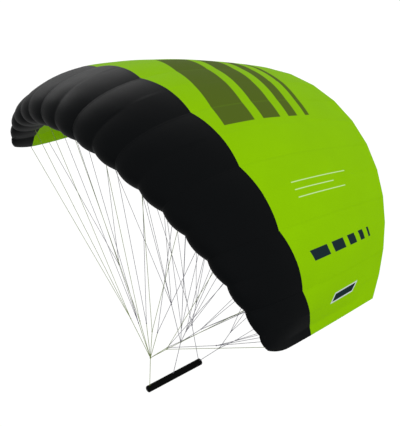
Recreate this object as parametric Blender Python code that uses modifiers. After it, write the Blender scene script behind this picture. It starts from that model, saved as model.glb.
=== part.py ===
"""Hand-held parawing in flight: an arched single-skin canopy with a puffed,
double-skinned leading edge, a fanned bridle and a short fore-and-aft hand bar.

Frame: metres, +Z up, +X along the span, -Y forwards (leading edge), +Y aft.
The origin is the middle of the hand bar's axis, where the hands hold the wing.

Stations k run from -9 (one wing tip) over 0 (centre rib) to +9 (other tip), one
per rib.  The cloth is cut in nine gores of two cells each, so the sewn seams and
the loaded ribs lie at the odd stations.
"""
import math

import bmesh
import bpy
from mathutils import Matrix, Vector

# ---------------------------------------------------------------- sizes
ROOT_CHORD = 1.64          # straight chord of the centre rib
TIP_STATION = 9            # ribs from the centre to a tip
NOSE_Y, NOSE_Z = -0.529, 2.048   # nose of the centre rib, in the wing's own frame
WING_TILT = 3.4            # the wing's frame is turned aft-up over the bar, degrees

CLOTH = 0.002              # thickness of every cloth sheet
GAP = 0.0003               # clearance between sewn pieces
JOIN_DROP = 0.0050         # belly seam below the top skin's outer face

# arch and plan form as even or odd polynomials of w, the stretched station
ARCH_X = {1: 1.515, 3: -0.315, 5: -0.023}      # half span
ARCH_Z = {2: -0.811, 4: 0.007}                 # drop of the nose line
SWEEP_Y = {2: 0.293, 4: -0.134, 6: 0.069}      # sweep of the nose line
CHORD = {0: 1.0, 2: -0.555, 4: 0.118, 6: -0.047}   # chord as a part of the root
CELL_STRETCH = 0.116       # cells are wider in the middle than at the tips
PITCH_ROOT, PITCH_TIP = -10.8, -7.2            # chord pitch, nose up, degrees
TOE_IN, TOE_CUBIC = 12.3, -5.4                 # chord toe, degrees
TIP_ROUND, TIP_ROUND_END = 0.28, 0.17  # tip cell cut back at its nose, and up to where

# rib section, as parts of the chord; it flattens out towards the tips
SECTION_THICK = {0: 0.212, 2: -0.011, 6: -0.225}
SECTION_LEAST = 0.022
CAMBER, REFLEX = 0.017, 0.0081
COLOUR_SEAM = {0: 0.280, 2: -0.059, 4: 0.139}  # black nose panel to main panel
COLOUR_SEAM_BOW = 0.012    # the seam bows aft between the loaded ribs
BELLY_JOIN = 0.12          # belly's rear seam, aft of the colour seam
BELLY = ((0.0, 0.0), (0.0, -0.090), (0.220, -0.120))   # belly curve, from the nose
BELLY_SPLIT = {0: 0.60, 2: -0.11}   # black belly panel up to here along it, then lime

# puffing of the cloth between ribs, as parts of the cell or gore width
PUFF_TABLE = (             # chord fraction, one-cell puff, gore puff
    (0.00, 0.070, 0.012),
    (0.05, 0.052, 0.018),
    (0.12, 0.022, 0.028),
    (0.20, 0.005, 0.034),
    (0.29, 0.000, 0.032),
    (0.45, 0.000, 0.018),
    (0.70, 0.000, 0.010),
    (0.90, 0.000, 0.006),
    (1.00, 0.000, 0.000),
)
BELLY_PUFF = 0.075         # one-cell puff of the belly panel

# hand bar
BAR_LENGTH = 0.434
BAR_RADIUS = 0.0222
BAR_EDGE = 0.008           # rounding of its ends

# tow points: the two knots on the centre plane and the pair of brake knots
FRONT_KNOT = Vector((0.0, -0.203, 0.260))
REAR_KNOT = Vector((0.0, 0.038, 0.260))
BRAKE_KNOT = Vector((0.136, 0.246, 0.197))
FRONT_LEADER_Y = -0.200    # where the leaders meet the bar's top
REAR_LEADER_Y = -0.010
BRAKE_LEADER_Y = 0.203
LINE = 0.0018              # side of the drawn line
LINE_GAP = 0.0009          # between neighbouring lines in one knot
KNOT_LONG = 0.006

# rows of bridle attachments as parts of the chord
ROW = {"A": 0.117, "B": 0.278, "C": 0.51, "D": 0.745, "E": 0.992}
# cascades: knot, name, loaded stations, rows, place of the upper knot on its way
CASCADES = (
    ("front", "tip_bcd", (9,), "BCD", 0.41),
    ("front", "outer_b", (7, 5), "B", 0.180),
    ("front", "outer_a", (9, 7, 5), "A", 0.178),
    ("front", "inner_a", (3, 1), "A", 0.178),
    ("front", "inner_b", (3, 1), "B", 0.148),
    ("rear", "outer_cd", (7, 5), "CD", 0.147),
    ("rear", "inner_cd", (3, 1), "CD", 0.055),
    ("brake", "outer_e", (9, 7), "E", 0.115),
    ("brake", "inner_e", (5, 3, 1), "E", 0.085),
)

# mesh divisions
SPAN_DIV = 6               # across a gore, the same on both sides of a seam
NOSE_DIV, MAIN_DIV = 8, 6  # rows of the black and of the lime top panel
BELLY_DIV, REAR_DIV = 7, 4 # rows of the black and of the lime belly panel


# ---------------------------------------------------------------- scene
for old in list(bpy.data.objects):
    bpy.data.objects.remove(old, do_unlink=True)
parts = bpy.data.collections.new("parawing")
bpy.context.scene.collection.children.link(parts)


def material(name, colour, rough, metal=0.0):
    m = bpy.data.materials.new(name)
    m.use_nodes = True
    b = m.node_tree.nodes["Principled BSDF"]
    b.inputs["Base Color"].default_value = (*colour, 1.0)
    b.inputs["Roughness"].default_value = rough
    b.inputs["Metallic"].default_value = metal
    return m


LIME = ("lime ripstop", (0.262, 0.578, 0.001), 0.55)
BLACK = ("black ripstop", (0.008, 0.009, 0.011), 0.50)
GRIP = ("black grip foam", (0.008, 0.008, 0.008), 0.85)
GREEN_LINE = ("green line", (0.30, 0.40, 0.13), 0.60)
GREY_LINE = ("grey line", (0.22, 0.21, 0.24), 0.60)


def add(name, mesh, look):
    ob = bpy.data.objects.new(name, mesh)
    parts.objects.link(ob)
    mesh.materials.append(material(name + " " + look[0], look[1], look[2]))
    return ob


# ---------------------------------------------------------------- the wing's form
def poly(table, w):
    return sum(a * w ** n for n, a in table.items())


def frame(k):
    """Nose point, chord, chord direction, outward normal and span direction."""
    v = k / TIP_STATION
    w = v * (1.0 + CELL_STRETCH * (1.0 - v * v))
    nose = Vector((poly(ARCH_X, w), NOSE_Y + poly(SWEEP_Y, w),
                   NOSE_Z + poly(ARCH_Z, w)))
    chord = ROOT_CHORD * poly(CHORD, w)
    dx = sum(n * a * w ** (n - 1) for n, a in ARCH_X.items())
    dz = sum(n * a * w ** (n - 1) for n, a in ARCH_Z.items())
    span = Vector((dx, 0.0, dz)).normalized()
    up = Vector((-span.z, 0.0, span.x))
    pitch = math.radians(PITCH_ROOT + (PITCH_TIP - PITCH_ROOT) * w * w)
    toe = math.radians(TOE_IN * w + TOE_CUBIC * w ** 3)
    aft = (math.cos(pitch) * Vector((0, 1, 0)) + math.sin(pitch) * up
           + math.tan(toe) * span).normalized()
    out = (up - up.dot(aft) * aft).normalized()
    thick = max(poly(SECTION_THICK, w), SECTION_LEAST)
    return TILT @ nose, chord, TILT @ aft, TILT @ out, TILT @ span, thick, w


TILT = Matrix.Rotation(math.radians(WING_TILT), 3, "X")
FRAMES = {k: frame(k) for k in range(-TIP_STATION, TIP_STATION + 1)}


def section(k, q):
    """Height of rib k's top skin over its chord line, as a part of the chord."""
    q = min(max(q, 0.0), 1.0)
    thick, flat = FRAMES[k][5], FRAMES[k][5] / SECTION_THICK[0]
    return (5.0 * thick * (0.2969 * math.sqrt(q) - 0.126 * q - 0.3516 * q ** 2
                           + 0.2843 * q ** 3 - 0.1036 * q ** 4)
            + 4.0 * flat * q * (1.0 - q) * (CAMBER + REFLEX * (1.0 - 2.0 * q)))


def section_normal(k, q):
    """Outward normal of rib k's top skin in (aft, out) terms."""
    e = 1e-4
    a, b = max(q - e, 0.0), min(q + e, 1.0)
    t = Vector((b - a, section(k, b) - section(k, a)))
    if q < 1e-3:
        t = Vector((0.0, 1.0))
    t.normalize()
    return -t.y, t.x


def puff(q):
    rows = PUFF_TABLE
    for (q0, a0, b0), (q1, a1, b1) in zip(rows, rows[1:]):
        if q <= q1:
            f = (q - q0) / (q1 - q0)
            f = f * f * (3 - 2 * f)
            return a0 + (a1 - a0) * f, b0 + (b1 - b0) * f
    return rows[-1][1:]


def cell(k):
    """Rib below k, fraction across the cell, fraction across the gore, widths."""
    k0 = min(int(math.floor(k + 1e-9)), TIP_STATION - 1)
    k0 = max(k0, -TIP_STATION)
    f1 = min(max(k - k0, 0.0), 1.0)
    g0 = k0 if k0 % 2 else k0 - 1
    f2 = min(max((k - g0) / 2.0, 0.0), 1.0)
    width = (FRAMES[k0 + 1][0] - FRAMES[k0][0]).length
    return k0, f1, f2, width


def rib_point(k, a, n):
    """A point of rib k, from chord fractions aft of and out from its nose."""
    nose, chord, aft, out = FRAMES[k][:4]
    return nose + chord * (a * aft + n * out)


def rib_dir(k, a, n):
    aft, out = FRAMES[k][2:4]
    return (a * aft + n * out).normalized()


def hump(f):
    return 4.0 * f * (1.0 - f)


def rounded(k, q):
    """The station k, drawn in where the nose corner of a tip cell is cut round."""
    n = abs(k) - (TIP_STATION - 1)
    if n <= 0.0:
        return k
    n *= 1.0 - TIP_ROUND * max(0.0, 1.0 - q / TIP_ROUND_END) ** 2.4
    return math.copysign(TIP_STATION - 1 + n, k)


def top_skin(k, q, sink=0.0):
    """Outer face of the top skin: ruled between ribs, puffed between seams."""
    h1, h2 = [hump(f) for f in cell(k)[1:3]]
    k0, f1, _, width = cell(rounded(k, q))
    p = rib_point(k0, q, section(k0, q)).lerp(
        rib_point(k0 + 1, q, section(k0 + 1, q)), f1)
    out = rib_dir(k0, *section_normal(k0, q)).lerp(
        rib_dir(k0 + 1, *section_normal(k0 + 1, q)), f1).normalized()
    one, gore = puff(q)
    h = one * width * h1 + gore * 2.0 * width * h2
    return p + (h - sink) * out


def colour_seam(k):
    """Chord fraction at which the black nose panel ends."""
    k0, f1, f2, _ = cell(k)
    w = FRAMES[k0][6] + (FRAMES[k0 + 1][6] - FRAMES[k0][6]) * f1
    return poly(COLOUR_SEAM, w) + COLOUR_SEAM_BOW * hump(f2)


def belly_join(k):
    """Chord fraction at which the belly is sewn up to the top skin."""
    return BELLY_JOIN + colour_seam(k)


def belly_split(k):
    """Where the black belly panel gives way to the lime one, as r of belly_skin."""
    return poly(BELLY_SPLIT, k / TIP_STATION)


def belly_skin(k, r, sink=0.0):
    """Outer face of the belly panel, r from 0 at the nose to 1 at its rear seam."""
    end = top_skin(k, belly_join(k), JOIN_DROP)
    (x0, y0), (x1, y1), (x2, y2) = BELLY
    s = 1.0 - r
    c0, c1, c2, c3 = s ** 3, 3 * s * s * r, 3 * s * r * r, r ** 3
    h1 = hump(cell(k)[1])
    k0, f1, _, width = cell(rounded(k, x2 * c2 + belly_join(k) * c3))

    def ctrl(x, y):
        flat0, flat1 = (FRAMES[j][5] / SECTION_THICK[0] for j in (k0, k0 + 1))
        return rib_point(k0, x, y * flat0).lerp(rib_point(k0 + 1, x, y * flat1), f1)

    nose = top_skin(k, 0.0)
    p = nose * c0 + ctrl(x1, y1) * c1 + ctrl(x2, y2) * c2 + end * c3
    # puffs point forwards at the nose, then down, and fade at the rear seam
    a = -math.cos(math.pi * 0.62 * r)
    n = -math.sin(math.pi * 0.62 * r)
    out = rib_dir(k0, a, n).lerp(rib_dir(k0 + 1, a, n), f1).normalized()
    h = BELLY_PUFF * width * h1 * (1.0 - r) ** 0.7 * min(1.0, r * 6.0)
    return p + (h - sink) * out


def sheet(name, func, nu, nv, look, flip=False):
    """A cloth panel: its outer face and its inner face, joined along the edges."""
    bm = bmesh.new()
    outer, inner = [
        [[bm.verts.new(func(i / nu, j / nv, sink)) for i in range(nu + 1)]
         for j in range(nv + 1)] for sink in (0.0, CLOTH)]

    def quad(a, b, c, d):
        bm.faces.new((d, c, b, a) if flip else (a, b, c, d))

    for j in range(nv):
        for i in range(nu):
            quad(outer[j][i], outer[j][i + 1], outer[j + 1][i + 1], outer[j + 1][i])
            quad(inner[j][i], inner[j + 1][i], inner[j + 1][i + 1], inner[j][i + 1])
    for i in range(nu):
        quad(outer[0][i + 1], outer[0][i], inner[0][i], inner[0][i + 1])
        quad(outer[nv][i], outer[nv][i + 1], inner[nv][i + 1], inner[nv][i])
    for j in range(nv):
        quad(outer[j][0], outer[j + 1][0], inner[j + 1][0], inner[j][0])
        quad(outer[j + 1][nu], outer[j][nu], inner[j][nu], inner[j + 1][nu])
    mesh = bpy.data.meshes.new(name)
    bm.to_mesh(mesh)
    bm.free()
    mesh.shade_smooth()
    return add(name, mesh, look)


# ---------------------------------------------------------------- cloth gores
def side_gap(k):
    """Half the seam gap, as a part of one cell."""
    k0, _, _, width = cell(k)
    return 0.5 * GAP / width * 1.5


for m in range(TIP_STATION):
    ka = -TIP_STATION + 2 * m
    kb = ka + 2
    e = side_gap(ka + 0.5)

    def across(u, ka=ka, kb=kb, e=e):
        return ka + e + (kb - ka - 2 * e) * u

    def nose_top(u, v, sink):
        k = across(u)
        q = (colour_seam(k) - 0.5 * GAP / ROOT_CHORD) * (1.0 - math.cos(0.5 * math.pi * v))
        p = top_skin(k, q, sink)
        return p + Vector((0, 0, 0.5 * GAP)) if v == 0 else p

    def main_top(u, v, sink):
        # the first row of the panel lies over the belly's rear seam
        k = across(u)
        q0, q1 = colour_seam(k) + 1.5 * GAP / ROOT_CHORD, belly_join(k)
        first = 1.0 / MAIN_DIV
        if v <= first + 1e-9:
            return top_skin(k, q0 + (q1 - q0) * v / first, sink)
        return top_skin(k, q1 + (1.0 - q1) * (v - first) / (1.0 - first), sink)

    def belly(u, v, sink):
        p = belly_skin(across(u), belly_split(across(u)) * v, sink)
        return p - Vector((0, 0, 0.5 * GAP)) if v == 0 else p

    def belly_rear(u, v, sink):
        r0 = belly_split(across(u)) + 0.0012
        return belly_skin(across(u), r0 + (1.0 - r0) * v, sink)

    n = "_%d" % (m + 1)
    sheet("nose_top" + n, nose_top, SPAN_DIV, NOSE_DIV, BLACK)
    sheet("canopy_gore" + n, main_top, SPAN_DIV, MAIN_DIV, LIME)
    sheet("nose_belly" + n, belly, SPAN_DIV, BELLY_DIV, BLACK, flip=True)
    sheet("belly_rear" + n, belly_rear, SPAN_DIV, REAR_DIV, LIME, flip=True)


# ---------------------------------------------------------------- hand bar
bm = bmesh.new()
bmesh.ops.create_cone(bm, cap_ends=True, segments=24, radius1=BAR_RADIUS,
                      radius2=BAR_RADIUS, depth=BAR_LENGTH)
bmesh.ops.rotate(bm, verts=bm.verts, cent=(0, 0, 0),
                 matrix=Matrix.Rotation(math.radians(90), 3, "X"))
mesh = bpy.data.meshes.new("hand_bar")
bm.to_mesh(mesh)
bm.free()
bar = add("hand_bar", mesh, GRIP)
bev = bar.modifiers.new("rounded ends", "BEVEL")
bev.width = BAR_EDGE
bev.segments = 2
bev.limit_method = "ANGLE"
bev.angle_limit = math.radians(50)
mesh.shade_smooth()


# ---------------------------------------------------------------- bridle
def underside(k, q):
    """A point just under the cloth at an odd (loaded) station."""
    s = 1.0 if k > 0 else -1.0
    kk = s * (abs(k) - (0.05 if abs(k) == TIP_STATION else 0.0))
    nose, chord, aft, out = FRAMES[k][:4]
    if q < belly_join(k):
        r = 0.02                # the belly's place at this chord fraction
        while (belly_skin(kk, r) - nose).dot(aft) < q * chord and r < 0.9:
            r += 0.01
        return belly_skin(kk, r) - 0.0030 * out
    na, nn = section_normal(k, q)
    return top_skin(kk, q) - (CLOTH + 0.0024) * (na * aft + nn * out)


def comb(name, root, along, ends, look, tail=None):
    """A knot block with one square line drawn from it to each end point.

    The lines leave the block side by side, in the order of their spread, so
    that they part from each other and never touch.
    """
    z = along.normalized()
    spread = Vector((1.0, 0.0, 0.0)) if abs(z.x) < 0.9 else Vector((0, 0, 1))
    x = (spread - spread.dot(z) * z).normalized()
    y = z.cross(x)

    def angle(e):
        d = e - root
        return math.atan2(d.dot(x), d.dot(z))

    order = sorted(ends, key=angle)
    pitch = LINE + LINE_GAP
    half = 0.5 * (len(order) * pitch + LINE_GAP)
    deep = 0.5 * LINE + 0.0006
    bm = bmesh.new()

    def at(px, py, pz):
        return bm.verts.new(root + px * x + py * y + pz * z)

    def socket(pz, cells, flip):
        """One end of the block: a plate with a square hole for each line."""
        edge = sorted({-half, half} | {c for s in cells for c in s})
        ys = (-deep, -0.5 * LINE, 0.5 * LINE, deep)
        grid = [[at(px, py, pz) for px in edge] for py in ys]
        holes = []
        for j in range(3):
            for i in range(len(edge) - 1):
                quad = (grid[j][i], grid[j][i + 1], grid[j + 1][i + 1],
                        grid[j + 1][i])
                inside = j == 1 and any(abs(edge[i] - s[0]) < 1e-7 for s in cells)
                if inside:
                    holes.append(quad)
                else:
                    bm.faces.new(quad[::-1] if flip else quad)
        return grid, holes

    cells = [(-half + LINE_GAP + i * pitch, -half + LINE_GAP + i * pitch + LINE)
             for i in range(len(order))]
    top_grid, holes = socket(KNOT_LONG, cells, False)
    low_cells = [(-0.5 * LINE, 0.5 * LINE)] if tail is not None else []
    low_grid, low_holes = socket(0.0, low_cells, True)

    def wall(a, b):
        n, m = len(a), len(b)
        i = j = 0
        # stitch two edge rows that have different numbers of points
        while i < n - 1 or j < m - 1:
            if j == m - 1 or (i < n - 1 and (a[i + 1].co - a[0].co).length
                              <= (b[j + 1].co - b[0].co).length):
                bm.faces.new((a[i], a[i + 1], b[j]))
                i += 1
            else:
                bm.faces.new((a[i], b[j + 1], b[j]))
                j += 1

    wall(top_grid[0], low_grid[0])
    wall([r[-1] for r in top_grid], [r[-1] for r in low_grid])
    wall(top_grid[-1][::-1], low_grid[-1][::-1])
    wall([r[0] for r in top_grid][::-1], [r[0] for r in low_grid][::-1])

    def draw(quad, target, flip):
        centre = sum((v.co for v in quad), Vector()) / 4.0
        move = target - centre
        far = [bm.verts.new(v.co + move) for v in quad]
        for i in range(4):
            j = (i + 1) % 4
            f = (quad[i], quad[j], far[j], far[i])
            bm.faces.new(f[::-1] if flip else f)
        bm.faces.new(far[::-1] if flip else far)

    for quad, target in zip(holes, order):
        draw(quad, target, False)
    for quad in low_holes:
        draw(quad, tail, True)
    bmesh.ops.recalc_face_normals(bm, faces=bm.faces)
    mesh = bpy.data.meshes.new(name)
    bm.to_mesh(mesh)
    bm.free()
    return add(name, mesh, look)


def mirrored(p, s):
    return Vector((s * p.x, p.y, p.z))


KNOTS = {"front": FRONT_KNOT, "rear": REAR_KNOT, "brake": BRAKE_KNOT}
TIE = {"front": [], "rear": [], ("brake", 1): [], ("brake", -1): []}

HELD = {}                  # the tip's own knot, which hangs from the outer B knot

for knot, name, stations, rows, place in CASCADES:
    for s, side in ((-1, "left"), (1, "right")):
        root = mirrored(KNOTS[knot], s)
        ends = [underside(s * k, ROW[r]) for k in stations for r in rows]
        if name == "outer_b":
            ends.append(HELD[s])
        middle = sum(ends, Vector()) / len(ends)
        upper = root.lerp(middle, place)
        along = middle - upper
        comb("%s_lines_%s_%s" % (knot, name, side), upper, along, ends,
             GREEN_LINE if rows == "A" else GREY_LINE)
        foot = upper - 0.0006 * along.normalized()
        if name == "tip_bcd":
            HELD[s] = foot
        else:
            TIE[(knot, s) if knot == "brake" else knot].append(foot)

BAR_TOP = BAR_RADIUS + 0.0004
comb("front_tow_fan", FRONT_KNOT, Vector((0, 0, 1)), TIE["front"], GREEN_LINE,
     tail=Vector((0.0, FRONT_LEADER_Y, BAR_TOP)))
comb("rear_tow_fan", REAR_KNOT, Vector((0, 0.2, 1)), TIE["rear"], GREY_LINE,
     tail=Vector((0.0, REAR_LEADER_Y, BAR_TOP)))
for s, side in ((-1, "left"), (1, "right")):
    root = mirrored(BRAKE_KNOT, s)
    comb("brake_fan_" + side, root, Vector((s * 0.4, 0.6, 1.0)), TIE[("brake", s)],
         GREY_LINE, tail=Vector((s * 0.008, BRAKE_LEADER_Y, BAR_TOP - 0.0010)))
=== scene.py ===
"""The looks of a hand-held parawing in flight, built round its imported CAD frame.

Frame: metres, +Z up, +X along the span, -Y forwards, origin on the hand bar's axis.
"""
import math

import bpy
import numpy as np
from mathutils import Matrix, Vector


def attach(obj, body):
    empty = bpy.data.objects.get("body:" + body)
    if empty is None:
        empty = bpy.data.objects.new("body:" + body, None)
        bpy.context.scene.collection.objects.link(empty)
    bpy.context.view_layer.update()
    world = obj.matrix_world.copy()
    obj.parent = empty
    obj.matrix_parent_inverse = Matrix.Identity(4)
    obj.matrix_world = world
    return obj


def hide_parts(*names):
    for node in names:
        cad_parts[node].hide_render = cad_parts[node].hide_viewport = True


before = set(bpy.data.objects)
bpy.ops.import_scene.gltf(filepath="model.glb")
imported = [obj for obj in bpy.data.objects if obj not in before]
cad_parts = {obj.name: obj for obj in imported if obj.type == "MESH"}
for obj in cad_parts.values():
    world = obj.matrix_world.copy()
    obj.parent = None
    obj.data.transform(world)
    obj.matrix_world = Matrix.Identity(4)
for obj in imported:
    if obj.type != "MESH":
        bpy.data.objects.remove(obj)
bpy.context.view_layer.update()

# ------------------------------------------------------------------ the camera
CAMERA = ((0.6415520310, -0.4789677858, 0.5991668105, 4.7846774955),
          (0.7654517293, 0.3488779664, -0.5407103896, -4.1820669174),
          (0.0499467552, 0.8055271506, 0.5904501081, 5.9533028603),
          (0.0, 0.0, 0.0, 1.0))
cam = bpy.data.cameras.new("camera")
cam.sensor_fit = "HORIZONTAL"
cam.sensor_width = 36.0
cam.lens = 122.5478
cam.shift_x = -0.00127
cam.shift_y = -0.00731
cam.clip_end = 100.0
camera = bpy.data.objects.new("camera", cam)
bpy.context.scene.collection.objects.link(camera)
camera.matrix_world = Matrix(CAMERA)
bpy.context.scene.camera = camera

# ------------------------------------------------------------------ the wing's form
ROOT_CHORD = 1.64
TIP_STATION = 9
NOSE_Y, NOSE_Z = -0.529, 2.048
WING_TILT = 3.4
GAP = 0.0003
CAD_CLOTH = 0.002
JOIN_DROP = 0.0050
ARCH_X = {1: 1.515, 3: -0.315, 5: -0.023}
ARCH_Z = {2: -0.811, 4: 0.007}
SWEEP_Y = {2: 0.293, 4: -0.134, 6: 0.069}
CHORD = {0: 1.0, 2: -0.555, 4: 0.118, 6: -0.047}
CELL_STRETCH = 0.116
PITCH_ROOT, PITCH_TIP = -10.8, -7.2
TOE_IN, TOE_CUBIC = 12.3, -5.4
TIP_ROUND, TIP_ROUND_END = 0.28, 0.17
SECTION_THICK = {0: 0.212, 2: -0.011, 6: -0.225}
SECTION_LEAST = 0.022
CAMBER, REFLEX = 0.017, 0.0081
COLOUR_SEAM = {0: 0.280, 2: -0.059, 4: 0.139}
COLOUR_SEAM_BOW = 0.012
BELLY_JOIN = 0.12
BELLY = ((0.0, 0.0), (0.0, -0.090), (0.220, -0.120))
BELLY_SPLIT = {0: 0.60, 2: -0.11}
PUFF_TABLE = (             # chord fraction, one-cell puff, gore puff
    (0.00, 0.070, 0.012),
    (0.05, 0.052, 0.018),
    (0.12, 0.022, 0.028),
    (0.20, 0.005, 0.034),
    (0.29, 0.000, 0.032),
    (0.45, 0.000, 0.018),
    (0.70, 0.000, 0.010),
    (0.90, 0.000, 0.006),
    (1.00, 0.000, 0.000),
)
BELLY_PUFF = 0.075
CLOTH = 0.0009             # thickness of the cloth that shows


def poly(table, w):
    return sum(a * w ** n for n, a in table.items())


def unit(v):
    return v / np.linalg.norm(v, axis=-1, keepdims=True)


TILT = np.array(Matrix.Rotation(math.radians(WING_TILT), 3, "X"))


class Rib:
    """The wing's frames at an array of stations."""

    def __init__(self, k):
        k = np.asarray(k, float)
        v = k / TIP_STATION
        w = v * (1.0 + CELL_STRETCH * (1.0 - v * v))
        one, nil = np.ones_like(w), np.zeros_like(w)
        nose = np.stack([poly(ARCH_X, w), NOSE_Y + poly(SWEEP_Y, w),
                         NOSE_Z + poly(ARCH_Z, w)], -1)
        dx = sum(n * a * w ** (n - 1) for n, a in ARCH_X.items())
        dz = sum(n * a * w ** (n - 1) for n, a in ARCH_Z.items())
        span = unit(np.stack([dx, nil, dz], -1))
        up = np.stack([-span[..., 2], nil, span[..., 0]], -1)
        pitch = np.radians(PITCH_ROOT + (PITCH_TIP - PITCH_ROOT) * w * w)[..., None]
        toe = np.radians(TOE_IN * w + TOE_CUBIC * w ** 3)[..., None]
        aft = unit(np.cos(pitch) * np.array([0.0, 1.0, 0.0]) + np.sin(pitch) * up
                   + np.tan(toe) * span)
        out = unit(up - (up * aft).sum(-1, keepdims=True) * aft)
        self.w, self.chord = w, ROOT_CHORD * poly(CHORD, w)
        self.thick = np.maximum(poly(SECTION_THICK, w), SECTION_LEAST * one)
        self.flat = self.thick / SECTION_THICK[0]
        self.nose, self.aft, self.out, self.span = [a @ TILT.T for a in
                                                    (nose, aft, out, span)]

    def section(self, q):
        q = np.clip(q, 0.0, 1.0)
        return (5.0 * self.thick * (0.2969 * np.sqrt(q) - 0.126 * q - 0.3516 * q ** 2
                                    + 0.2843 * q ** 3 - 0.1036 * q ** 4)
                + 4.0 * self.flat * q * (1.0 - q) * (CAMBER + REFLEX * (1.0 - 2.0 * q)))

    def normal(self, q):
        e = 1e-4
        a, b = np.maximum(q - e, 0.0), np.minimum(q + e, 1.0)
        tx, ty = b - a, self.section(b) - self.section(a)
        tx, ty = np.where(q < 1e-3, 0.0, tx), np.where(q < 1e-3, 1.0, ty)
        s = np.hypot(tx, ty)
        return self.along(-ty / s, tx / s)

    def point(self, a, n):
        return self.nose + self.chord[..., None] * (a[..., None] * self.aft
                                                    + n[..., None] * self.out)

    def along(self, a, n):
        return unit(a[..., None] * self.aft + n[..., None] * self.out)


def hump(f):
    return 4.0 * f * (1.0 - f)


def smooth(a, b, x):
    t = np.clip((x - a) / (b - a), 0.0, 1.0)
    return t * t * (3.0 - 2.0 * t)


def cell(k):
    k0 = np.clip(np.floor(k + 1e-9), -TIP_STATION, TIP_STATION - 1)
    f1 = np.clip(k - k0, 0.0, 1.0)
    g0 = np.where(k0 % 2 == 1, k0, k0 - 1)
    f2 = np.clip((k - g0) / 2.0, 0.0, 1.0)
    return k0, f1, f2, g0


def rounded(k, q):
    n = np.abs(k) - (TIP_STATION - 1)
    cut = 1.0 - TIP_ROUND * np.maximum(0.0, 1.0 - q / TIP_ROUND_END) ** 2.4
    return np.where(n <= 0.0, k, np.sign(k) * (TIP_STATION - 1 + n * cut))


def puff(q):
    qs = [r[0] for r in PUFF_TABLE]
    i = np.clip(np.searchsorted(qs, q, side="left") - 1, 0, len(qs) - 2)
    t = np.array(PUFF_TABLE)
    f = np.clip((q - t[i, 0]) / (t[i + 1, 0] - t[i, 0]), 0.0, 1.0)
    f = f * f * (3 - 2 * f)
    return [t[i, c] + (t[i + 1, c] - t[i, c]) * f for c in (1, 2)]


def ripple(s, seed):
    """A smooth irregular wave of s, in metres, between about -1 and 1."""
    return (np.sin(s * 171.0 + seed * 2.3) * 0.5 + np.sin(s * 247.0 + seed * 5.1) * 0.3
            + np.sin(s * 97.0 + seed * 3.7) * 0.35)


def puckers(k, q, chord, width, dark):
    """Fine gathers that a sewn seam draws in the cloth on both sides of it."""
    k0, f1, f2, g0 = cell(k)
    s = q * chord
    seam = np.where(f2 < 0.5, g0, g0 + 2)
    d = np.minimum(f2, 1.0 - f2) * 2.0 * width
    h = 0.00016 * np.exp(-d / 0.030) * ripple(s, seam)
    if dark:
        rib = np.where(f1 < 0.5, k0, k0 + 1)
        d1 = np.minimum(f1, 1.0 - f1) * width
        near = 1.0 - smooth(0.10, 0.24, q)
        h = h + 0.00030 * near * np.exp(-d1 / 0.022) * ripple(s * 1.3, rib + 0.5)
    # broad, shallow unevenness of a cloth under air pressure
    h = h + 0.0009 * hump(f2) * np.sin(s * 13.0 + seam * 1.9 + f2 * 4.0)
    return h


def top_skin(k, q, sink=0.0, dark=False):
    k, q = np.broadcast_arrays(np.asarray(k, float), np.asarray(q, float))
    h1, h2 = hump(cell(k)[1]), hump(cell(k)[2])
    kr = rounded(k, q)
    k0, f1, _, _ = cell(kr)
    a, b, m = Rib(k0), Rib(k0 + 1), Rib(kr)
    f = f1[..., None]
    p = a.point(q, a.section(q)) * (1 - f) + b.point(q, b.section(q)) * f
    soft = (smooth(0.06, 0.30, q) * (1.0 - smooth(0.80, 0.97, q)))[..., None]
    p = p * (1 - soft) + m.point(q, m.section(q)) * soft
    out = unit(a.normal(q) * (1 - f) + b.normal(q) * f)
    width = np.linalg.norm(b.nose - a.nose, axis=-1)
    one, gore = puff(q)
    h = one * width * h1 + gore * 2.0 * width * h2
    h = h + puckers(k, q, m.chord, width, dark) * (1.0 - smooth(0.985, 1.0, q)) * smooth(0.0, 0.03, q)
    return p + (h - sink)[..., None] * out


def colour_seam(k):
    k0, f1, f2, _ = cell(k)
    w = Rib(k0).w * (1 - f1) + Rib(k0 + 1).w * f1
    return poly(COLOUR_SEAM, w) + COLOUR_SEAM_BOW * hump(f2)


def belly_skin(k, r, sink=0.0, flat=False):
    k, r = np.broadcast_arrays(np.asarray(k, float), np.asarray(r, float))
    join = BELLY_JOIN + colour_seam(k)
    end = top_skin(k, join, JOIN_DROP)
    (x0, y0), (x1, y1), (x2, y2) = BELLY
    s = 1.0 - r
    c0, c1, c2, c3 = [c[..., None] for c in
                      (s ** 3, 3 * s * s * r, 3 * s * r * r, r ** 3)]
    h1 = hump(cell(k)[1])
    kr = rounded(k, x2 * c2[..., 0] + join * c3[..., 0])
    k0, f1, _, _ = cell(kr)
    a, b, m = Rib(k0), Rib(k0 + 1), Rib(kr)
    f = f1[..., None]
    one = np.ones_like(k)

    def ctrl(x, y):
        return (a.point(x * one, y * a.flat) * (1 - f)
                + b.point(x * one, y * b.flat) * f)

    nose = top_skin(k, 0.0 * one)
    p = nose * c0 + ctrl(x1, y1) * c1 + ctrl(x2, y2) * c2 + end * c3
    da, dn = -np.cos(math.pi * 0.62 * r), -np.sin(math.pi * 0.62 * r)
    out = unit(a.along(da, dn) * (1 - f) + b.along(da, dn) * f)
    width = np.linalg.norm(b.nose - a.nose, axis=-1)
    h = BELLY_PUFF * width * h1 * (1.0 - r) ** 0.7 * np.minimum(1.0, r * 6.0)
    if not flat:
        d1 = np.minimum(f1, 1.0 - f1) * width
        rib = np.where(f1 < 0.5, k0, k0 + 1)
        h = h + (0.00045 * np.exp(-d1 / 0.024) * ripple(r * 0.5, rib + 0.2)
                 * smooth(0.0, 0.05, r) * (1.0 - smooth(0.93, 1.0, r)))
    return p + (h - sink)[..., None] * out


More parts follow.
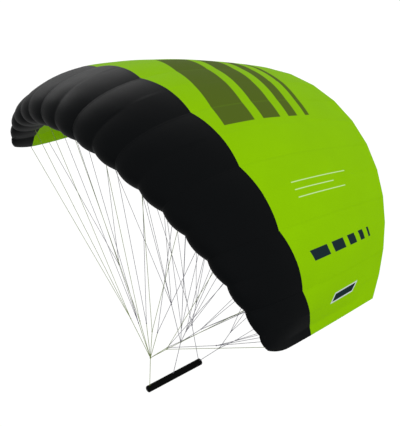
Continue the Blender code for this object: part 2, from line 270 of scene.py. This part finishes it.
# ------------------------------------------------------------------ materials
def new_material(name):
    m = bpy.data.materials.new(name)
    m.use_nodes = True
    return m, m.node_tree, m.node_tree.nodes["Principled BSDF"]


class Graph:
    """Short helpers for writing a node graph as sums."""

    def __init__(self, nt):
        self.nt = nt

    def node(self, kind, **kw):
        n = self.nt.nodes.new(kind)
        for key, v in kw.items():
            setattr(n, key, v)
        return n

    def link(self, a, b):
        if isinstance(a, (int, float)):
            b.default_value = a
        else:
            self.nt.links.new(a, b)

    def math(self, op, a, b=None, c=None, clamp=False):
        n = self.node("ShaderNodeMath", operation=op, use_clamp=clamp)
        for i, v in enumerate((a, b, c)):
            if v is not None:
                self.link(v, n.inputs[i])
        return n.outputs[0]

    def uv(self, name):
        u = self.node("ShaderNodeUVMap", uv_map=name)
        s = self.node("ShaderNodeSeparateXYZ")
        self.nt.links.new(u.outputs[0], s.inputs[0])
        return u.outputs[0], s.outputs[0], s.outputs[1]

    def noise(self, vec, scale, detail=2.0, rough=0.5):
        n = self.node("ShaderNodeTexNoise")
        n.inputs["Scale"].default_value = scale
        n.inputs["Detail"].default_value = detail
        n.inputs["Roughness"].default_value = rough
        if vec is not None:
            self.nt.links.new(vec, n.inputs["Vector"])
        return n.outputs["Fac"]

    def step(self, x, lo, hi):
        """0 below lo, 1 above hi."""
        n = self.node("ShaderNodeMapRange", clamp=True)
        self.link(x, n.inputs["Value"])
        n.inputs["From Min"].default_value = lo
        n.inputs["From Max"].default_value = hi
        return n.outputs["Result"]

    def band(self, x, centre, half, soft):
        """1 within half of centre, falling to 0 over soft."""
        d = self.math("ABSOLUTE", self.math("SUBTRACT", x, centre))
        n = self.node("ShaderNodeMapRange", clamp=True)
        self.link(d, n.inputs["Value"])
        n.inputs["From Min"].default_value = half + soft
        n.inputs["From Max"].default_value = half
        return n.outputs["Result"]

    def mix(self, fac, a, b):
        n = self.node("ShaderNodeMix", data_type="RGBA")
        self.link(fac, n.inputs["Factor"])
        for sock, v in ((n.inputs["A"], a), (n.inputs["B"], b)):
            if isinstance(v, tuple):
                sock.default_value = (*v, 1.0)
            else:
                self.nt.links.new(v, sock)
        return n.outputs["Result"]


GRID = 0.005               # ripstop grid pitch, metres


def ripstop(g, x, y, vec):
    """Height of a ripstop weave: a grid of thicker yarns over a fine plain weave."""
    def yarn(t, pitch, half):
        f = g.math("FRACT", g.math("DIVIDE", t, pitch))
        d = g.math("ABSOLUTE", g.math("SUBTRACT", f, 0.5))
        return g.step(d, 0.5 - half, 0.5)
    gx, gy = yarn(x, GRID, 0.12), yarn(y, GRID, 0.12)
    grid = g.math("MAXIMUM", gx, gy)
    fine = g.math("MULTIPLY", g.math("SINE", g.math("MULTIPLY", x, 2 * math.pi / 0.0008)),
                  g.math("SINE", g.math("MULTIPLY", y, 2 * math.pi / 0.0008)))
    return grid, fine


def cloth(name, colour, dark, rough, spec, art=None, hem=True):
    """Coated ripstop. UV maps: weave (metres across and along), wing (station and
    chord fraction), edge (metres in from the gore's side seam and from its rear)."""
    m, nt, b = new_material(name)
    g = Graph(nt)
    vec, x, y = g.uv("weave")
    _, k, q = g.uv("wing")
    _, ex, ey = g.uv("edge")
    grid, fine = ripstop(g, x, y, vec)
    cloud = g.noise(vec, 3.2, 3.0)
    fleck = g.noise(vec, 90.0, 2.0, 0.6)
    col = g.mix(g.step(cloud, 0.30, 0.70), tuple(c * 0.965 for c in colour),
                tuple(min(c * 1.03, 1.0) for c in colour))
    col = g.mix(g.math("MULTIPLY", grid, 0.30), col, dark)
    col = g.mix(g.math("MULTIPLY", g.step(fleck, 0.45, 0.75), 0.10), col, dark)
    if art is not None:
        col = art(g, k, q, col)
    # felled side seam: the doubled cloth reads a little deeper, with two stitch rows
    fell = g.band(ex, 0.006, 0.0058, 0.0006)
    row = g.math("MAXIMUM", g.band(ex, 0.0022, 0.0004, 0.0003),
                 g.band(ex, 0.0100, 0.0004, 0.0003))
    dash = g.step(g.math("SINE", g.math("MULTIPLY", y, 2 * math.pi / 0.0032)), -0.35, 0.1)
    stitch = g.math("MULTIPLY", row, dash)
    if hem:
        lap = g.band(ey, 0.006, 0.0058, 0.0006)
        row2 = g.band(ey, 0.0100, 0.0004, 0.0003)
        dash2 = g.step(g.math("SINE", g.math("MULTIPLY", x, 2 * math.pi / 0.0032)), -0.35, 0.1)
        fell = g.math("MAXIMUM", fell, lap)
        stitch = g.math("MAXIMUM", stitch, g.math("MULTIPLY", row2, dash2))
    col = g.mix(g.math("MULTIPLY", fell, 0.07), col, dark)
    col = g.mix(g.math("MULTIPLY", stitch, 0.30), col, dark)
    g.link(col, b.inputs["Base Color"])
    r = g.math("ADD", g.math("MULTIPLY", g.math("SUBTRACT", cloud, 0.5), 0.10), rough)
    g.link(g.math("ADD", r, g.math("MULTIPLY", grid, 0.05)), b.inputs["Roughness"])
    b.inputs["Specular IOR Level"].default_value = spec
    h = g.math("ADD", g.math("MULTIPLY", grid, 0.00010), g.math("MULTIPLY", fine, 0.00002))
    h = g.math("ADD", h, g.math("MULTIPLY", g.noise(vec, 28.0, 3.0), 0.0006))
    h = g.math("SUBTRACT", h, g.math("MULTIPLY", stitch, 0.00030))
    bump = g.node("ShaderNodeBump")
    bump.inputs["Strength"].default_value = 0.35
    bump.inputs["Distance"].default_value = 1.0
    g.link(h, bump.inputs["Height"])
    g.link(bump.outputs[0], b.inputs["Normal"])
    return m, b


LIME = (0.236, 0.498, 0.0004)
LIME_DARK = (0.165, 0.360, 0.0004)
OLIVE = (0.074, 0.114, 0.0110)
NAVY = (0.010, 0.022, 0.026)
PALE = (0.62, 0.80, 0.42)


def wing_art(g, k, q, col):
    """A plain racing-stripe print: slanted dark bands over the middle of the wing,
    short slanted bars near one tip and three thin pale pinstripes between them."""
    def box(x, lo, hi, soft):
        return g.math("MULTIPLY", g.step(x, lo, lo + soft), g.math("SUBTRACT", 1.0, g.step(x, hi - soft, hi)))

    # four slanted bands across the top, each thinner than the last
    lean = g.math("ADD", q, g.math("MULTIPLY", k, 0.035))
    across = box(k, -2.30, 1.75, 0.02)
    bands = 0.0
    for lo, hi in ((0.40, 0.545), (0.585, 0.675), (0.715, 0.765), (0.805, 0.830)):
        b = g.math("MULTIPLY", box(lean, lo, hi, 0.003), across)
        bands = g.math("MAXIMUM", b, bands)
    col = g.mix(bands, col, OLIVE)
    # a row of short slanted bars towards the +X tip
    lean2 = g.math("SUBTRACT", q, g.math("MULTIPLY", g.math("SUBTRACT", k, 6.05), 0.06))
    bars = 0.0
    for lo, hi in ((0.400, 0.520), (0.550, 0.640), (0.670, 0.730), (0.760, 0.800), (0.830, 0.850)):
        bars = g.math("MAXIMUM", box(lean2, lo, hi, 0.004), bars)
    bars = g.math("MULTIPLY", bars, box(k, 5.86, 6.24, 0.02))
    col = g.mix(bars, col, NAVY)
    # one short bar with a pale edge, nearer the tip
    lean3 = g.math("ADD", q, g.math("MULTIPLY", g.math("SUBTRACT", k, 7.85), 0.10))
    rim = g.math("MULTIPLY", box(lean3, 0.535, 0.745, 0.004), box(k, 7.66, 8.04, 0.02))
    core = g.math("MULTIPLY", box(lean3, 0.545, 0.735, 0.004), box(k, 7.71, 7.99, 0.02))
    col = g.mix(rim, col, (0.55, 0.62, 0.60))
    col = g.mix(core, col, NAVY)
    # three thin pinstripes
    pins = 0.0
    for at, lo, hi in ((3.85, 0.44, 0.77), (4.08, 0.44, 0.68), (4.31, 0.44, 0.74)):
        p = g.math("MULTIPLY", box(k, at - 0.018, at + 0.018, 0.008), box(q, lo, hi, 0.003))
        pins = g.math("MAXIMUM", p, pins)
    col = g.mix(g.math("MULTIPLY", pins, 0.75), col, PALE)
    return col


m_lime, b = cloth("lime ripstop", LIME, LIME_DARK, 0.55, 0.012, art=wing_art)
m_lime_under, b = cloth("lime ripstop belly", LIME, LIME_DARK, 0.55, 0.012)
m_black, b = cloth("black ripstop", (0.0021, 0.0026, 0.0030), (0.0014, 0.0016, 0.0019),
                   0.42, 0.04)
for m in (m_black,):
    p = m.node_tree.nodes["Principled BSDF"]
    p.inputs["Sheen Weight"].default_value = 0.0
    p.inputs["Sheen Roughness"].default_value = 0.5

# ------------------------------------------------------------------ cloth panels
scene_parts = bpy.data.collections.new("parawing looks")
bpy.context.scene.collection.children.link(scene_parts)


def spread(n, length, marks_lo=(), marks_hi=()):
    """n+1 even fractions of a length, with extra rows at these metres from its ends."""
    t = list(np.linspace(0.0, 1.0, n + 1))
    keep = []
    extra = [m / length for m in marks_lo] + [1.0 - m / length for m in marks_hi]
    for x in t:
        if x in (0.0, 1.0) or min([abs(x - e) for e in extra] + [1.0]) > 0.25 / n:
            keep.append(x)
    return np.array(sorted(set(keep + extra)))


def panel(name, node, func, us, vs, wing, material, flip=False, fell=0.0):
    """Two faces of cloth joined at the edges, with the UV maps the cloth uses."""
    nu, nv = len(us), len(vs)
    U, V = np.meshgrid(us, vs)
    outer = func(U, V, 0.0)
    inner = func(U, V, CLOTH)
    if fell:
        # the felled seam stands proud of the cloth by one more layer
        n = unit(outer - inner)
        outer = outer + (fell * ridge(U, V, outer))[..., None] * n
    pts = np.concatenate([outer.reshape(-1, 3), inner.reshape(-1, 3)])
    idx = np.arange(nu * nv).reshape(nv, nu)
    o = idx
    i = idx + nu * nv
    f = [np.stack([o[:-1, :-1], o[:-1, 1:], o[1:, 1:], o[1:, :-1]], -1).reshape(-1, 4),
         np.stack([i[:-1, :-1], i[1:, :-1], i[1:, 1:], i[:-1, 1:]], -1).reshape(-1, 4),
         np.stack([o[0, 1:], o[0, :-1], i[0, :-1], i[0, 1:]], -1),
         np.stack([o[-1, :-1], o[-1, 1:], i[-1, 1:], i[-1, :-1]], -1),
         np.stack([o[:-1, 0], o[1:, 0], i[1:, 0], i[:-1, 0]], -1),
         np.stack([o[1:, -1], o[:-1, -1], i[:-1, -1], i[1:, -1]], -1)]
    faces = np.concatenate(f)
    if flip:
        faces = faces[:, ::-1]
    me = bpy.data.meshes.new(name)
    me.from_pydata(pts.tolist(), [], faces.tolist())
    # metres across and along the panel, measured on the outer face
    dx = np.linalg.norm(np.diff(outer, axis=1), axis=-1)
    dy = np.linalg.norm(np.diff(outer, axis=0), axis=-1)
    X = np.concatenate([np.zeros((nv, 1)), np.cumsum(dx, 1)], 1)
    Y = np.concatenate([np.zeros((1, nu)), np.cumsum(dy, 0)], 0)
    wide = X[:, -1:].copy()
    maps = {"weave": np.stack([X - 0.5 * wide, Y], -1),
            "wing": np.stack(np.broadcast_arrays(*wing(U, V)), -1),
            "edge": np.stack([X, Y[-1:] - Y], -1)}
    loops = np.empty(len(me.loops), np.int32)
    me.loops.foreach_get("vertex_index", loops)
    for key, a in maps.items():
        a = np.concatenate([a.reshape(-1, 2)] * 2)
        layer = me.uv_layers.new(name=key)
        layer.uv.foreach_set("vector", a[loops].astype(np.float32).ravel())
    me.materials.append(material)
    me.shade_smooth()
    me.set_sharp_from_angle(angle=math.radians(50))
    ob = bpy.data.objects.new(name, me)
    scene_parts.objects.link(ob)
    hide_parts(node)
    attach(ob, "root")
    return ob


def ridge(U, V, outer):
    """1 on the felled strip along the gore's first side and on the hem, 0 elsewhere."""
    dx = np.linalg.norm(np.diff(outer, axis=1), axis=-1)
    X = np.concatenate([np.zeros((len(outer), 1)), np.cumsum(dx, 1)], 1)
    dy = np.linalg.norm(np.diff(outer, axis=0), axis=-1)
    Y = np.concatenate([np.zeros((1, outer.shape[1])), np.cumsum(dy, 0)], 0)
    back = Y[-1:] - Y
    side = 1.0 - smooth(0.0118, 0.0132, X)
    hem = 1.0 - smooth(0.0118, 0.0132, back)
    return np.maximum(side, hem)


MARKS = (0.0040, 0.0117, 0.0133)
for m in range(TIP_STATION):
    ka, kb = -TIP_STATION + 2 * m, -TIP_STATION + 2 * m + 2
    width = float(np.linalg.norm(Rib(kb).nose - Rib(ka).nose))
    e = 0.06 * GAP / (0.5 * width)

    def across(u, ka=ka, kb=kb, e=e):
        return ka + e + (kb - ka - 2 * e) * u

    def nose_top(u, v, sink):
        k = across(u)
        q = (colour_seam(k) - 0.05 * GAP / ROOT_CHORD) * (1.0 - np.cos(0.5 * math.pi * v))
        p = top_skin(k, q, sink, dark=True)
        p[..., 2] += np.where(v == 0, 0.5 * GAP, 0.0)
        return p

    def nose_top_q(u, v):
        k = across(u)
        return k, colour_seam(k) * (1.0 - np.cos(0.5 * math.pi * v))

    def main_top(u, v, sink):
        k = across(u)
        q0 = colour_seam(k) + 0.05 * GAP / ROOT_CHORD
        return top_skin(k, q0 + (1.0 - q0) * v, sink)

    def main_q(u, v):
        k = across(u)
        q0 = colour_seam(k)
        return k, q0 + (1.0 - q0) * v

    def split(k):
        return poly(BELLY_SPLIT, k / TIP_STATION)

    def belly(u, v, sink):
        k = across(u)
        p = belly_skin(k, split(k) * v, sink)
        p[..., 2] -= np.where(v == 0, 0.5 * GAP, 0.0)
        return p

    def belly_q(u, v):
        k = across(u)
        return k, 0.2 * v + 0.0 * k

    def rear(u, v, sink):
        k = across(u)
        r0 = split(k) + 0.0012
        return belly_skin(k, r0 + (1.0 - r0) * v, sink)

    def rear_q(u, v):
        k = across(u)
        return k, 0.2 + 0.2 * v + 0.0 * k

    n = "_%d" % (m + 1)
    chord = float(Rib(ka + 1).chord)
    us = spread(40, width, MARKS, MARKS[:1])
    panel("lime_top" + n, "canopy_gore" + n, main_top, us,
          spread(64, 0.68 * chord, MARKS[:1], MARKS), main_q, m_lime, fell=0.0002)
    panel("black_top" + n, "nose_top" + n, nose_top, us,
          spread(52, 0.34 * chord, (), MARKS), nose_top_q, m_black, fell=0.0006)
    panel("black_belly" + n, "nose_belly" + n, belly, us,
          spread(28, 0.20 * chord), belly_q, m_black, flip=True)
    panel("lime_belly" + n, "belly_rear" + n, rear, us,
          spread(20, 0.24 * chord), rear_q, m_lime_under, flip=True)

# ------------------------------------------------------------------ bridle
FRONT_KNOT = Vector((0.0, -0.203, 0.260))
REAR_KNOT = Vector((0.0, 0.038, 0.260))
BRAKE_KNOT = Vector((0.136, 0.246, 0.197))
FRONT_LEADER_Y, REAR_LEADER_Y, BRAKE_LEADER_Y = -0.200, -0.010, 0.203
ROW = {"A": 0.117, "B": 0.278, "C": 0.51, "D": 0.745, "E": 0.992}
CASCADES = (
    ("front", "tip_bcd", (9,), "BCD", 0.41),
    ("front", "outer_b", (7, 5), "B", 0.180),
    ("front", "outer_a", (9, 7, 5), "A", 0.178),
    ("front", "inner_a", (3, 1), "A", 0.178),
    ("front", "inner_b", (3, 1), "B", 0.148),
    ("rear", "outer_cd", (7, 5), "CD", 0.147),
    ("rear", "inner_cd", (3, 1), "CD", 0.055),
    ("brake", "outer_e", (9, 7), "E", 0.115),
    ("brake", "inner_e", (5, 3, 1), "E", 0.085),
)
BAR_RADIUS, BAR_LENGTH = 0.0222, 0.434
MAIN_R, FINE_R = 0.00180, 0.00155


def line_material(name, colour, dark):
    """A braided line: slanted pale and dark picks."""
    m, nt, b = new_material(name)
    g = Graph(nt)
    tc = g.node("ShaderNodeTexCoord")
    s = g.node("ShaderNodeSeparateXYZ")
    nt.links.new(tc.outputs["Object"], s.inputs[0])
    pick = g.math("SINE", g.math("MULTIPLY", s.outputs[2], 2 * math.pi / 0.0016))
    col = g.mix(g.step(pick, -0.4, 0.6), colour, dark)
    g.link(col, b.inputs["Base Color"])
    b.inputs["Roughness"].default_value = 0.62
    b.inputs["Specular IOR Level"].default_value = 0.25
    return m


m_green_line = line_material("green line", (0.270, 0.340, 0.110), (0.150, 0.200, 0.055))
m_grey_line = line_material("grey line", (0.215, 0.205, 0.250), (0.115, 0.110, 0.145))
KNOTS = {"front": FRONT_KNOT, "rear": REAR_KNOT, "brake": BRAKE_KNOT}


def mirrored(p, s):
    return Vector((s * p.x, p.y, p.z))


def underside(k, q):
    """The point of the cloth's underside where a line is sewn on."""
    s = 1.0 if k > 0 else -1.0
    kk = s * (abs(k) - (0.03 if abs(k) == TIP_STATION else 0.0))
    ka = np.array(float(kk))
    rib = Rib(np.array(float(k)))
    join = BELLY_JOIN + float(colour_seam(ka))
    if q < join:
        r = 0.02
        while (float(((belly_skin(ka, r, flat=True) - rib.nose) * rib.aft).sum())
               < q * float(rib.chord) and r < 0.9):
            r += 0.01
        return Vector(belly_skin(ka, r, flat=True).tolist())
    return Vector(top_skin(ka, q, CLOTH).tolist())


def tube(verts, faces, path, radius, sides=8):
    """Adds a round tube along path to these lists."""
    n0 = len(verts)
    path = [Vector(p) for p in path]
    side = None
    for i, p in enumerate(path):
        d = (path[min(i + 1, len(path) - 1)] - path[max(i - 1, 0)]).normalized()
        if side is None:
            side = d.orthogonal().normalized()
        side = (side - side.dot(d) * d).normalized()
        other = d.cross(side)
        for j in range(sides):
            a = 2 * math.pi * j / sides
            verts.append(p + radius * (math.cos(a) * side + math.sin(a) * other))
    for i in range(len(path) - 1):
        for j in range(sides):
            a, b = n0 + i * sides + j, n0 + i * sides + (j + 1) % sides
            faces.append((a, b, b + sides, a + sides))
    faces.append(tuple(n0 + j for j in range(sides))[::-1])
    faces.append(tuple(n0 + (len(path) - 1) * sides + j for j in range(sides)))


def overhand(centre, along, size, radius, verts, faces):
    """A small overhand knot, drawn as the closed trefoil it is, squeezed along."""
    z = along.normalized()
    x = z.orthogonal().normalized()
    y = z.cross(x)
    pts = []
    for i in range(37):
        t = 2 * math.pi * i / 36
        pts.append(centre + size * (0.34 * (math.sin(t) + 2 * math.sin(2 * t)) * x
                                    + 0.34 * (math.cos(t) - 2 * math.cos(2 * t)) * z * 1.15
                                    - 0.62 * math.sin(3 * t) * y))
    tube(verts, faces, pts, radius, 6)


def rope_piece(name, node, runs, knots, look):
    verts, faces = [], []
    for path, radius in runs:
        tube(verts, faces, path, radius)
    for centre, along, size, radius in knots:
        overhand(centre, along, size, radius, verts, faces)
    me = bpy.data.meshes.new(name)
    me.from_pydata([tuple(v) for v in verts], [], faces)
    me.materials.append(look)
    me.shade_smooth()
    me.set_sharp_from_angle(angle=math.radians(60))
    ob = bpy.data.objects.new(name, me)
    scene_parts.objects.link(ob)
    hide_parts(node)
    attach(ob, "root")
    return ob


def run(a, b, radius):
    return [a + (b - a) * (i / 6.0) for i in range(7)], radius


TIE = {"front": [], "rear": [], ("brake", 1): [], ("brake", -1): []}
HELD = {}                  # the tip's own knot, which hangs from the outer B knot
for knot, name, stations, rows, place in CASCADES:
    for s, side in ((-1, "left"), (1, "right")):
        root = mirrored(KNOTS[knot], s)
        ends = [underside(s * k, ROW[r]) for k in stations for r in rows]
        if name == "outer_b":
            ends.append(HELD[s])
        middle = sum(ends, Vector()) / len(ends)
        upper = root.lerp(middle, place)
        runs = [run(upper, e, FINE_R) for e in ends]
        rope_piece("line_%s_%s_%s" % (knot, name, side),
                   "%s_lines_%s_%s" % (knot, name, side), runs,
                   [(upper, middle - upper, 0.0030, FINE_R)],
                   m_green_line if rows == "A" else m_grey_line)
        if name == "tip_bcd":
            HELD[s] = upper
        else:
            TIE[(knot, s) if knot == "brake" else knot].append(upper)

top = BAR_RADIUS - 0.0006
for name, node, root, ties, foot, look in (
        ("tow_front", "front_tow_fan", FRONT_KNOT, TIE["front"],
         Vector((0.0, FRONT_LEADER_Y, top)), m_green_line),
        ("tow_rear", "rear_tow_fan", REAR_KNOT, TIE["rear"],
         Vector((0.0, REAR_LEADER_Y, top)), m_grey_line),
        ("tow_brake_left", "brake_fan_left", mirrored(BRAKE_KNOT, -1), TIE[("brake", -1)],
         Vector((-0.008, BRAKE_LEADER_Y, top - 0.0012)), m_grey_line),
        ("tow_brake_right", "brake_fan_right", BRAKE_KNOT, TIE[("brake", 1)],
         Vector((0.008, BRAKE_LEADER_Y, top - 0.0012)), m_grey_line)):
    runs = [run(root, t, MAIN_R) for t in ties]
    runs.append(run(root, foot, MAIN_R))
    rope_piece(name, node, runs, [(root, Vector((0, 0.1, 1)), 0.0042, MAIN_R)], look)

# ------------------------------------------------------------------ hand bar
BAR_ROUND = 0.008
profile = []
steps = 10
half = 0.5 * BAR_LENGTH
for i in range(steps + 1):              # rounded end, from the flat disc to the side
    a = 0.5 * math.pi * i / steps
    profile.append((BAR_RADIUS - BAR_ROUND + BAR_ROUND * math.sin(a),
                    -half + BAR_ROUND - BAR_ROUND * math.cos(a)))
CAP_LONG = 0.020
profile += [(BAR_RADIUS, -half + CAP_LONG - 0.0006),
            (BAR_RADIUS - 0.0006, -half + CAP_LONG),
            (BAR_RADIUS - 0.0006, -half + CAP_LONG + 0.0008),
            (BAR_RADIUS - 0.0001, -half + CAP_LONG + 0.0016)]
body = np.linspace(-half + CAP_LONG + 0.0040, 0.0, 40)
profile += [(BAR_RADIUS - 0.0001, float(y)) for y in body]
profile += [(r, -y) for r, y in profile[-2::-1]]
SIDES = 72
verts = [(0.0, -half, 0.0)]
faces = []
for r, y in profile:
    for j in range(SIDES):
        a = 2 * math.pi * j / SIDES
        verts.append((r * math.cos(a), y, r * math.sin(a)))
verts.append((0.0, half, 0.0))
last = len(verts) - 1
for j in range(SIDES):
    j2 = (j + 1) % SIDES
    faces.append((0, 1 + j, 1 + j2))
    for i in range(len(profile) - 1):
        a, b = 1 + i * SIDES + j, 1 + i * SIDES + j2
        faces.append((a, a + SIDES, b + SIDES, b))
    e = 1 + (len(profile) - 1) * SIDES
    faces.append((last, e + j2, e + j))
me = bpy.data.meshes.new("grip_bar")
me.from_pydata(verts, [], faces)
me.shade_smooth()
me.set_sharp_from_angle(angle=math.radians(40))
m_grip, nt, b = new_material("grip foam")
g = Graph(nt)
tc = g.node("ShaderNodeTexCoord")
obj = tc.outputs["Object"]
pore = g.node("ShaderNodeTexVoronoi")
pore.inputs["Scale"].default_value = 900.0
nt.links.new(obj, pore.inputs["Vector"])
grain = g.noise(obj, 420.0, 3.0, 0.6)
wear = g.noise(obj, 22.0, 3.0)
col = g.mix(g.step(wear, 0.35, 0.75), (0.0016, 0.0017, 0.0018), (0.0028, 0.0028, 0.0030))
col = g.mix(g.math("MULTIPLY", g.step(grain, 0.55, 0.8), 0.35), col, (0.005, 0.005, 0.0053))
g.link(col, b.inputs["Base Color"])
g.link(g.math("ADD", 0.72, g.math("MULTIPLY", grain, 0.16)), b.inputs["Roughness"])
b.inputs["Specular IOR Level"].default_value = 0.05
bump = g.node("ShaderNodeBump")
bump.inputs["Strength"].default_value = 0.5
bump.inputs["Distance"].default_value = 1.0
g.link(g.math("ADD", g.math("MULTIPLY", pore.outputs["Distance"], 0.00035),
              g.math("MULTIPLY", grain, 0.00020)), bump.inputs["Height"])
g.link(bump.outputs[0], b.inputs["Normal"])
me.materials.append(m_grip)
grip = bpy.data.objects.new("grip_bar", me)
scene_parts.objects.link(grip)
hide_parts("hand_bar")
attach(grip, "root")

# ------------------------------------------------------------------ floor and light
me = bpy.data.meshes.new("floor")
FLOOR_Z, FLOOR_HALF = -1.10, 14.0
me.from_pydata([(-FLOOR_HALF, -FLOOR_HALF, FLOOR_Z), (FLOOR_HALF, -FLOOR_HALF, FLOOR_Z),
                (FLOOR_HALF, FLOOR_HALF, FLOOR_Z), (-FLOOR_HALF, FLOOR_HALF, FLOOR_Z)],
               [], [(0, 1, 2, 3)])
floor = bpy.data.objects.new("floor", me)
bpy.context.scene.collection.objects.link(floor)
m_floor, nt, b = new_material("pale floor")
b.inputs["Emission Color"].default_value = (1.0, 1.0, 1.0, 1.0)
b.inputs["Emission Strength"].default_value = 0.78
b.inputs["Base Color"].default_value = (0.25, 0.25, 0.25, 1.0)
b.inputs["Roughness"].default_value = 0.9
b.inputs["Specular IOR Level"].default_value = 0.1
me.materials.append(m_floor)
floor.visible_diffuse = False
floor.visible_glossy = False

world = bpy.data.worlds.new("studio")
world.use_nodes = True
bg = world.node_tree.nodes["Background"]
bg.inputs["Color"].default_value = (1.0, 1.0, 1.0, 1.0)
g = Graph(world.node_tree)
sky = g.node("ShaderNodeTexCoord")
split_sky = g.node("ShaderNodeSeparateXYZ")
g.link(sky.outputs["Generated"], split_sky.inputs[0])
height = g.step(split_sky.outputs[2], -0.45, 0.15)
g.link(g.math("ADD", 0.48, g.math("MULTIPLY", height, 0.42)), bg.inputs["Strength"])
bpy.context.scene.world = world


def area_light(name, where, at, size, power):
    d = bpy.data.lights.new(name, "AREA")
    d.shape = "RECTANGLE"
    d.size, d.size_y = size
    d.energy = power
    o = bpy.data.objects.new(name, d)
    bpy.context.scene.collection.objects.link(o)
    o.location = where
    o.rotation_euler = (Vector(at) - Vector(where)).to_track_quat("-Z", "Y").to_euler()
    return o


soft = area_light("left softbox", (-6.6, 1.6, 3.1), (0.0, 0.0, 1.6), (5.0, 3.0), 80.0)
soft.visible_diffuse = False

fill = bpy.data.lights.new("fill", "SUN")
fill.energy = 1.00
fill.angle = math.radians(60)
fill_ob = bpy.data.objects.new("fill", fill)
bpy.context.scene.collection.objects.link(fill_ob)
fill_ob.rotation_euler = Vector((0.80, -0.34, 0.50)).to_track_quat("Z", "Y").to_euler()
fill_ob.visible_glossy = False

sc = bpy.context.scene
sc.view_settings.view_transform = "Standard"
sc.view_settings.look = "None"
sc.view_settings.exposure = 0.0
